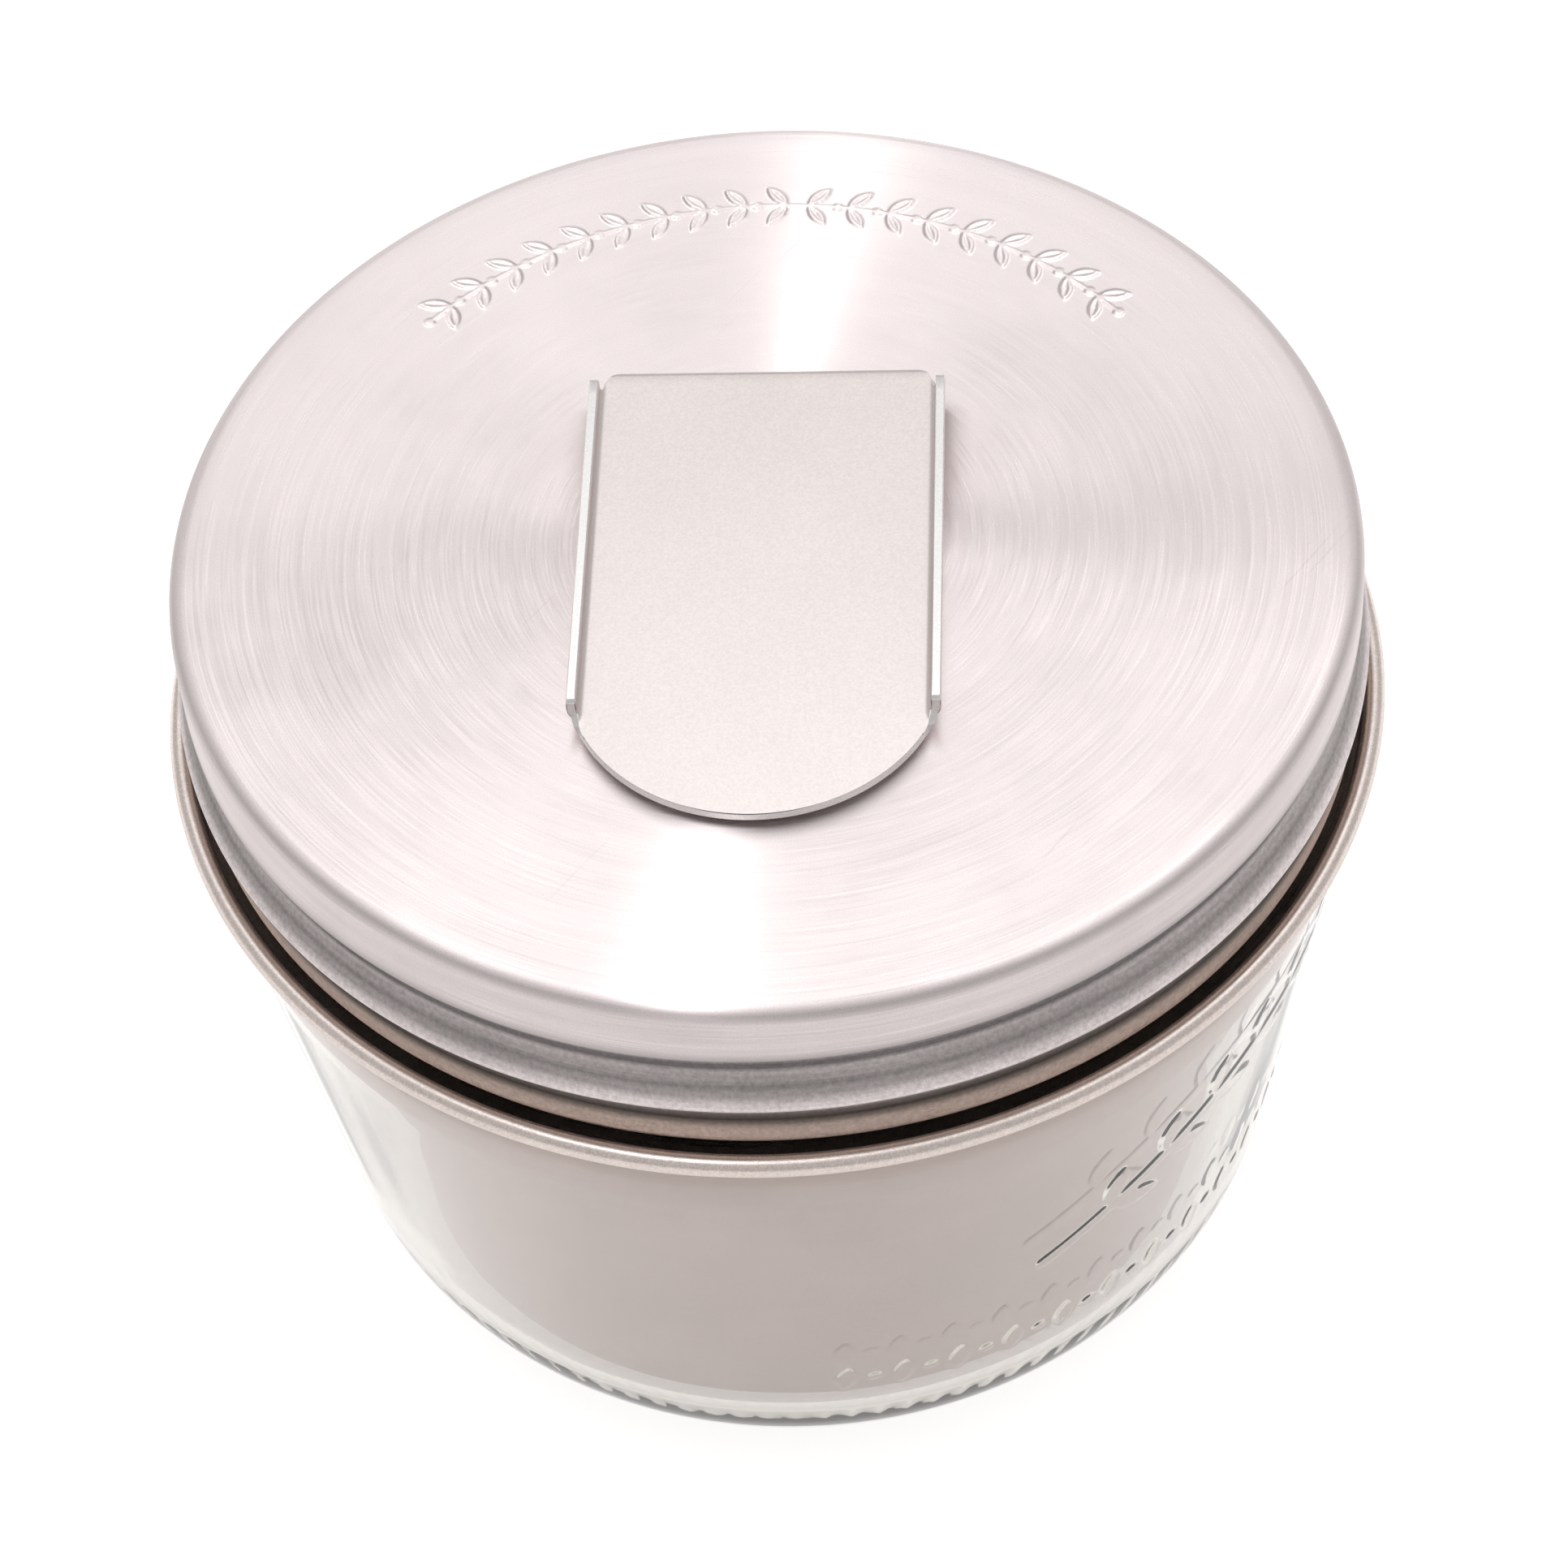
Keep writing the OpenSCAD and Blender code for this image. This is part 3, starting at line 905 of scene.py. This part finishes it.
class JAR_OT_lid(bpy.types.Operator):
    """Make the one-piece steel lid with its rolled skirt and stamped garland"""

    bl_idname = "jar.lid"
    bl_label = "Lid"

    def execute(self, context):
        steel = context.scene.steel_looks
        top, low = LID_HIGH[2], LID_LOW[2]
        groove, skirt = top - GROOVE_DROP, LID_RADIUS - 0.1 * MM
        bead = groove - BEAD_DROP
        face = rounded([
            (0, top, 0),
            (GARLAND_RADIUS - 3 * MM, top, 0),
            (GARLAND_RADIUS + 3 * MM, top, 0),
            (LID_RADIUS, top, LID_EDGE),
            (LID_RADIUS, groove, 0.3 * MM),
            (LID_RADIUS - 0.6 * MM, groove - 0.5 * MM, 0.6 * MM),
            (LID_RADIUS - 0.6 * MM, groove - 2 * MM, 2 * MM),
            (LID_RADIUS + 0.8 * MM, bead + 0.4 * MM, 0.6 * MM),
            (skirt, bead - 0.4 * MM, 0.3 * MM),
            (skirt, low + CURL, 0),
        ], 8)
        inner = beside(face, SHEET)[::-1]
        edge = arc(skirt - CURL, low + CURL, CURL, 0, -250, 30)[1:]
        notch = [[skirt - SHEET - 0.02 * MM, low + 1.5 * CURL]]
        above = inner[inner[:, 1] > low + 2.2 * CURL]

        def step(r, z):
            if z > top - 0.1 * MM and abs(r - GARLAND_RADIUS) < 3.1 * MM:
                return 0.12 * MM
            return 1.2 * MM if z < top - 0.1 * MM or r > 30 * MM else 4 * MM

        def shape(r, z, a):
            stamped = (z > top - 1e-6) & (r < 39 * MM)
            z2 = z + np.where(stamped, garland(r, a) * steel.stamp, 0.0)
            weight = np.interp((top - z) / MM, LEAN_DEPTHS, LEAN_SHARES)
            turn = turned_from(a, -math.pi / 2) / math.pi
            back = np.sign(turn) * 0.8 * smooth((1 - np.abs(turn)) / 0.2)
            lean = np.where(np.abs(turn) < 0.8, turn, back)
            return r, z2 + steel.thread_lean * lean * weight

        outline = np.vstack([face, edge, notch, above])
        angles = all_round(1.0, 90, 54, 0.2)
        profile = divided(outline, step)
        points, faces = spun(profile, angles, shape)
        masks = {"depth": np.repeat(top - profile[:, 1], len(angles))}
        # The lid takes painted shade and highlight in its recesses from the depth mask.
        looks = [turned_steel(
            "Lid steel", steel.lid, rough=0.30, stretch=1.0, bump=0.15, grain_bump=0.06, dirt_and_painted_shade=True
        )]
        add_mesh("lid_steel", points, faces, looks, "lid", ["lid_shell"], 55, masks=masks)
        return {"FINISHED"}


# ---- clip ----
CLIP_SHEET = 0.7 * MM
FOOT_LENGTH, FOOT_CORNER = 12.0 * MM, 1.5 * MM
FOLD_SPLIT = math.radians(139)  # the leaf has the fold up to here and the foot has the rest
FOLD_REST = math.radians(41)
CUT_EASE = 0.07 * MM  # how far cut edges are eased


def flat_pattern(rows, splits):
    """Points (across, along) and faces of a flat blank given by its half-width at each length.

    rows are (along, reach) pairs; splits are the distances from the middle where columns stay put.
    """
    columns = [0.0]
    for start, end, count in splits:
        columns.extend(start + (end - start) * (k + 1) / count for k in range(count))
    columns = np.array([-c for c in columns[:0:-1]] + columns)
    limits = np.array([end for _, end, _ in splits])
    where, points, faces = {}, [], []

    def point(across, along):
        key = (round(across * 1e8), round(along * 1e8))
        if key not in where:
            where[key] = len(points)
            points.append((across, along))
        return where[key]

    lines = []
    for along, reach in rows:
        size = np.abs(columns)
        squeezed = np.where(size <= limits[0], size * min(1.0, reach / limits[0]), size)
        for low, high in zip(limits, limits[1:]):
            part = (size > low) & (size <= high)
            span = max(0.0, min(reach, high) - min(reach, low))
            squeezed = np.where(part, min(reach, low) + (size - low) / (high - low) * span, squeezed)
        lines.append([point(a, along) for a in np.sign(columns) * squeezed])
    for below, above in zip(lines, lines[1:]):
        for a, b, c, d in zip(below, below[1:], above[1:], above):
            face = list(dict.fromkeys((a, b, c, d)))
            if len(face) < 3:
                continue
            x, y = np.array([points[k] for k in face]).T
            if abs(np.dot(x, np.roll(y, -1)) - np.dot(y, np.roll(x, -1))) > 1e-13:
                faces.append(face)
    return np.array(points), faces


def sheet_solid(blank, faces, place, thick, ease):
    """Points, faces and kinds (1 on a cut edge) of bent sheet whose cut edges are slightly eased.

    place(across, along, height) bends the blank's points.
    """
    edges = {(a, b) for face in faces for a, b in zip(face, face[1:] + face[:1])}
    after = {a: b for a, b in edges if (b, a) not in edges}
    before = {b: a for a, b in after.items()}
    inset = blank.copy()
    for here in after:
        first, second = unit(blank[here] - blank[before[here]]), unit(blank[after[here]] - blank[here])
        both = np.array([-first[1] - second[1], first[0] + second[0]])
        inset[here] += both * ease / (1 + first @ second)
    rim = list(after)
    order = {k: i for i, k in enumerate(rim)}
    count = len(blank)
    edge = blank[rim]
    levels = ((inset, thick), (inset, 0.0), (edge, thick - ease), (edge, ease))
    points = np.vstack([place(outline, height) for outline, height in levels])
    solid = [list(face) for face in faces] + [[count + k for k in face[::-1]] for face in faces]
    kinds = [0] * len(solid)
    upper, lower = 2 * count, 2 * count + len(rim)
    for a, b in after.items():
        i, j = order[a], order[b]
        solid.append([b, a, upper + i, upper + j])
        solid.append([upper + j, upper + i, lower + i, lower + j])
        solid.append([lower + j, lower + i, count + a, count + b])
        kinds.extend((1, 1, 1))
    return points, solid, kinds


class JAR_OT_clip(bpy.types.Operator):
    """Make the spring clip: its folded foot and its leaf with turned-up sides"""

    bl_idname = "jar.clip"
    bl_label = "Clip"

    def execute(self, context):
        colour = context.scene.steel_looks.clip
        steel = strip_steel("Clip steel", colour, 0.36)
        bare = strip_steel("Clip cut edge", (0.84, 0.83, 0.82), 0.28)
        half = LEAF_HIGH[0]
        thick = FOOT_LOW[2] + CLIP_SHEET - LID_HIGH[2]
        bend = 0.6 * MM                                 # inside radius of the turned-up sides
        flat = half - thick - bend
        middle = bend + thick / 2
        under = LID_HIGH[2] + thick + 0.1 * MM          # underside of the leaf
        fold_z = LID_HIGH[2] + thick + 0.05 * MM
        fold_y = LEAF_HIGH[1] - thick - 0.05 * MM
        fold_in = 0.05 * MM
        fold_mid = fold_in + thick / 2
        tip = LEAF_LOW[1]
        straight = fold_y - tip
        quarter = math.pi / 2
        lip = flat + middle * quarter + LEAF_HIGH[2] - under - thick - bend

        nose, nose_end = 14.2 * MM, 9.5 * MM
        turn = math.acos(1 - nose_end / nose)
        corner = nose * math.sin(turn)
        lip_end = straight - 1.6 * MM
        ease = 0.55 * MM
        rows = [*arc(nose, 0, nose, 180, 180 - math.degrees(turn), 47)]
        rows += [*arc(nose_end + ease, lip - ease, ease, 180, 90, 6)]
        rows += [(y, lip) for y in np.linspace(nose_end + ease, lip_end - ease, 24)[1:-1]]
        rows += [*arc(lip_end - ease, lip - ease, ease, 90, 0, 6)]
        cut = ((0.0, 0.0), (0.3 * MM, 0.35 * MM), (0.9 * MM, 0.6 * MM))     # the notch beside the fold
        rows += [(lip_end + on, corner - inward) for on, inward in cut]
        rows += [(straight, corner - 1.0 * MM)]
        rows += [(straight + fold_mid * math.radians(a), corner - (1.0 + 1.1 * smooth(a / 75.0)) * MM)
                 for a in range(8, 131, 8)]
        splits = ((0.0, flat, 30), (flat, corner, 5), (corner, lip, 9))

        def place_leaf(blank, height):
            across, along = blank[:, 0], blank[:, 1]
            size = np.abs(across)
            rise = smooth((along - nose_end + 2.2 * MM) / (2.2 * MM))
            weight = rise * smooth((straight - 0.2 * MM - along) / (1.2 * MM))
            angle = np.clip((size - flat) / middle, 0, quarter) * weight
            arm = bend + thick - height
            extra = np.clip(size - flat - middle * quarter, 0, None)
            spare = np.clip(size - flat, 0, middle * quarter) * (1 - weight)
            x = np.minimum(size, flat) + arm * np.sin(angle) + spare
            z = bend + thick - arm * np.cos(angle) + extra
            fold = np.clip((along - straight) / fold_mid, 0, None)
            reach = fold_in + height
            y = np.where(fold > 0, fold_y + reach * np.sin(fold), tip + along)
            z = np.where(fold > 0, fold_z + reach * np.cos(fold), under + z)
            return np.column_stack([np.sign(across) * x, y, z])

        blank, faces = flat_pattern(rows, splits)
        points, solid, kinds = sheet_solid(blank, faces, place_leaf, thick, CUT_EASE)
        steels = [steel, bare]
        add_mesh("clip_leaf_steel", points, solid, steels, "clip", ["clip_leaf"], 35, kinds)

        arc_part = fold_mid * FOLD_REST
        width = corner - 2.1 * MM
        rows = [(arc_part * k / 6, width) for k in range(6)]
        inner, corner_y = width - FOOT_CORNER, arc_part + FOOT_LENGTH - FOOT_CORNER
        rows += [(y, width) for y in np.linspace(arc_part, corner_y, 8)]
        rows += [*arc(corner_y, inner, FOOT_CORNER, 90, 0, 7)[1:]]

        def place_foot(blank, height):
            across, along = blank[:, 0], blank[:, 1]
            angle = FOLD_SPLIT + np.clip(along / fold_mid, 0, FOLD_REST)
            reach = fold_in + height
            y = fold_y + reach * np.sin(angle) - np.clip(along - arc_part, 0, None)
            return np.column_stack([across, y, fold_z + reach * np.cos(angle)])

        blank, faces = flat_pattern(rows, ((0.0, inner, 12), (inner, width, 4)))
        points, solid, kinds = sheet_solid(blank, faces, place_foot, thick, CUT_EASE)
        add_mesh("clip_foot_steel", points, solid, steels, "lid", ["clip_foot"], 35, kinds)
        return {"FINISHED"}


# ---- studio ----
FLOOR_REACH = 3.0
CEILING = {"place": (0.0, 0.27, 0.95), "aim": (0, 0, 0.05), "width": 1.15, "height": 0.88}
STRIP = {"place": (-0.119, -0.05, 0.88), "aim": (-0.110, 0.05, 0.07), "width": 0.035, "height": 0.40}


def soft_light(name, brightness, place, aim, width, height):
    """A rectangular lamp; its energy makes its face that bright whatever its size."""
    data = bpy.data.lights.new(name, "AREA")
    data.shape = "RECTANGLE"
    data.size, data.size_y = width, height
    data.energy = brightness * math.pi * width * height
    light = new_object(name, data)
    light.location = place
    light.rotation_euler = (Vector(aim) - Vector(place)).to_track_quat("-Z", "Y").to_euler()


class JAR_OT_studio(bpy.types.Operator):
    """Set up the camera, the pale floor and the soft light"""

    bl_idname = "jar.studio"
    bl_label = "Studio"

    def execute(self, context):
        scene = context.scene
        look = scene.studio_looks
        middle = Vector((0, 0, LID_HIGH[2]))
        eye, aim = middle + Vector(look.eye), middle + Vector(look.aim)
        forward = (aim - eye).normalized()
        right = forward.cross(Vector((0, 0, 1))).normalized()
        upward = right.cross(forward)
        tilt_right = right * math.cos(look.roll) + upward * math.sin(look.roll)
        tilt_up = upward * math.cos(look.roll) - right * math.sin(look.roll)
        data = bpy.data.cameras.new("Camera")
        data.sensor_width = 36
        data.lens = look.lens
        data.clip_start = 0.01
        camera = new_object("Camera", data)
        turn = Matrix((tilt_right, tilt_up, -forward)).transposed()
        camera.matrix_world = Matrix.Translation(eye) @ turn.to_4x4()
        scene.camera = camera

        world = bpy.data.worlds.new("White surroundings")
        scene.world = world
        world.use_nodes = True
        tree = world.node_tree
        set_inputs(tree, tree.nodes["Background"], Color=(1.0, 0.985, 0.975, 1.0), Strength=look.sky)
        scene.view_settings.view_transform = "Standard"

        floor = bpy.data.meshes.new("Floor")
        corners = ((-1, -1), (1, -1), (1, 1), (-1, 1))
        floor.from_pydata([(x * FLOOR_REACH, y * FLOOR_REACH, 0) for x, y in corners], [], [(0, 1, 2, 3)])
        paper, tree, shader = new_material("Floor paper")
        grain = placed(tree, sheet_grain, Clouds_per_metre=3.0)
        tone = blended(tree, grain["Cloud"], (0.0, 1.0), darker(look.floor, 0.99), look.floor)
        set_inputs(tree, shader, Base_Color=tone, Roughness=0.8)
        set_inputs(tree, shader, Emission_Color=(1.0, 0.99, 0.985, 1.0), Emission_Strength=look.glow)
        floor.materials.append(paper)
        ground = new_object("Floor", floor)
        soft_light("Soft ceiling", look.ceiling, **CEILING)
        soft_light("Strip light", look.strip, **STRIP)
        return {"FINISHED"}


class JAR_PT_panel(bpy.types.Panel):
    """Lists the steps that make the jar"""

    bl_idname = "JAR_PT_panel"
    bl_label = "Clip lid jar"
    bl_space_type = "VIEW_3D"
    bl_region_type = "UI"
    bl_category = "Jar"

    def draw(self, context):
        for step in STEPS:
            self.layout.operator(step.bl_idname)
        for group in (context.scene.jar_sizes, context.scene.steel_looks, context.scene.studio_looks):
            for name in group.__annotations__:
                self.layout.prop(group, name)


STEPS = (JAR_OT_studio, JAR_OT_glass, JAR_OT_cup, JAR_OT_ring, JAR_OT_gasket, JAR_OT_lid, JAR_OT_clip)
CLASSES = (JarSettings, SteelSettings, StudioSettings, *STEPS, JAR_PT_panel)


def register():
    for cls in CLASSES:
        bpy.utils.register_class(cls)
    bpy.types.Scene.jar_sizes = PointerProperty(type=JarSettings)
    bpy.types.Scene.steel_looks = PointerProperty(type=SteelSettings)
    bpy.types.Scene.studio_looks = PointerProperty(type=StudioSettings)


def unregister():
    del bpy.types.Scene.jar_sizes
    del bpy.types.Scene.steel_looks
    del bpy.types.Scene.studio_looks
    for cls in reversed(CLASSES):
        bpy.utils.unregister_class(cls)


def main():
    register()
    bpy.ops.jar.studio()
    bpy.ops.jar.glass()
    bpy.ops.jar.cup()
    bpy.ops.jar.ring()
    bpy.ops.jar.gasket()
    bpy.ops.jar.lid()
    bpy.ops.jar.clip()


if __name__ == "__main__":
    main()
